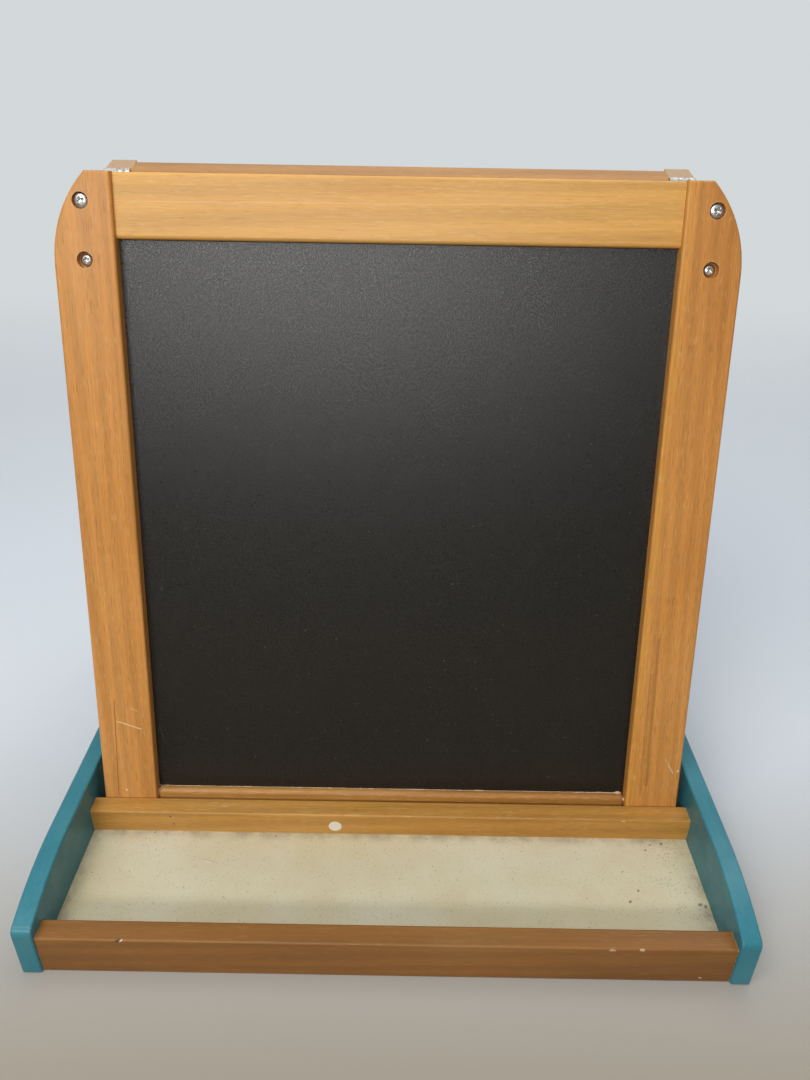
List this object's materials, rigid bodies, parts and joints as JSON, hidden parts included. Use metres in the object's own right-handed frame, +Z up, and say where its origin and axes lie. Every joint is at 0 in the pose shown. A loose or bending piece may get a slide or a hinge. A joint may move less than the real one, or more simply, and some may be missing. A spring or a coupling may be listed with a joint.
{
  "type": "childrens easel",
  "caption": "Two-sided tabletop easel: a hinged pair of framed drawing boards stands in a base that has a shallow tray along each side.",
  "frame": {"origin": "middle of the base's footprint, on the table top it stands on", "axes": "+Z up, X along the width of the boards, the chalkboard side and its tray face -Y"},
  "size_m": [0.523, 0.5602, 0.5084],
  "materials": {
    "frame_wood": "honey stained, satin lacquer",
    "tray_rail_wood": "darker stained, satin lacquer, worn edges",
    "teal_panel": "painted board, satin",
    "tray_laminate": "cream laminate on thin board",
    "chalkboard": "black chalkboard paint on hardboard, semi-matte",
    "whiteboard": "white melamine face on hardboard, glossy",
    "screw_steel": "zinc plated, worn bright",
    "hinge_steel": "zinc plated sheet",
    "label_paper": "bare round paper dot"
  },
  "bodies": {
    "base": {"left_side_panel": "teal_panel", "right_side_panel": "teal_panel", "front_tray_outer_rail": "tray_rail_wood", "front_tray_inner_rail": "tray_rail_wood", "front_tray_floor": "tray_laminate", "rear_tray_inner_rail": "tray_rail_wood", "rear_tray_outer_rail": "tray_rail_wood", "rear_tray_floor": "tray_laminate", "tray_bolts": "screw_steel", "tray_sticker": "label_paper"},
    "front_leaf": {"front_left_stile": "frame_wood", "front_right_stile": "frame_wood", "front_top_rail": "frame_wood", "front_bottom_rail": "frame_wood", "chalkboard_panel": "chalkboard", "front_upper_hinge_screws": "screw_steel", "front_lower_hinge_screws": "screw_steel", "front_left_hinge_plate": "hinge_steel", "front_right_hinge_plate": "hinge_steel", "hinge_pins": "hinge_steel"},
    "rear_leaf": {"rear_left_stile": "frame_wood", "rear_right_stile": "frame_wood", "rear_top_rail": "frame_wood", "rear_bottom_rail": "frame_wood", "whiteboard_panel": "whiteboard", "rear_upper_hinge_screws": "screw_steel", "rear_lower_hinge_screws": "screw_steel", "rear_left_hinge_plate": "hinge_steel", "rear_right_hinge_plate": "hinge_steel"}
  },
  "joints": [
    {"name": "leaves_lift_out", "type": "slide", "parent": "base", "child": "front_leaf", "axis": [0, 0, 1], "range_m": [0, 0.08]},
    {"name": "rear_leaf_fold", "type": "hinge", "parent": "front_leaf", "child": "rear_leaf", "pos_m": [0, 0, 0.502], "axis": [-1, 0, 0], "range_deg": [0, 27.4]}
  ]
}
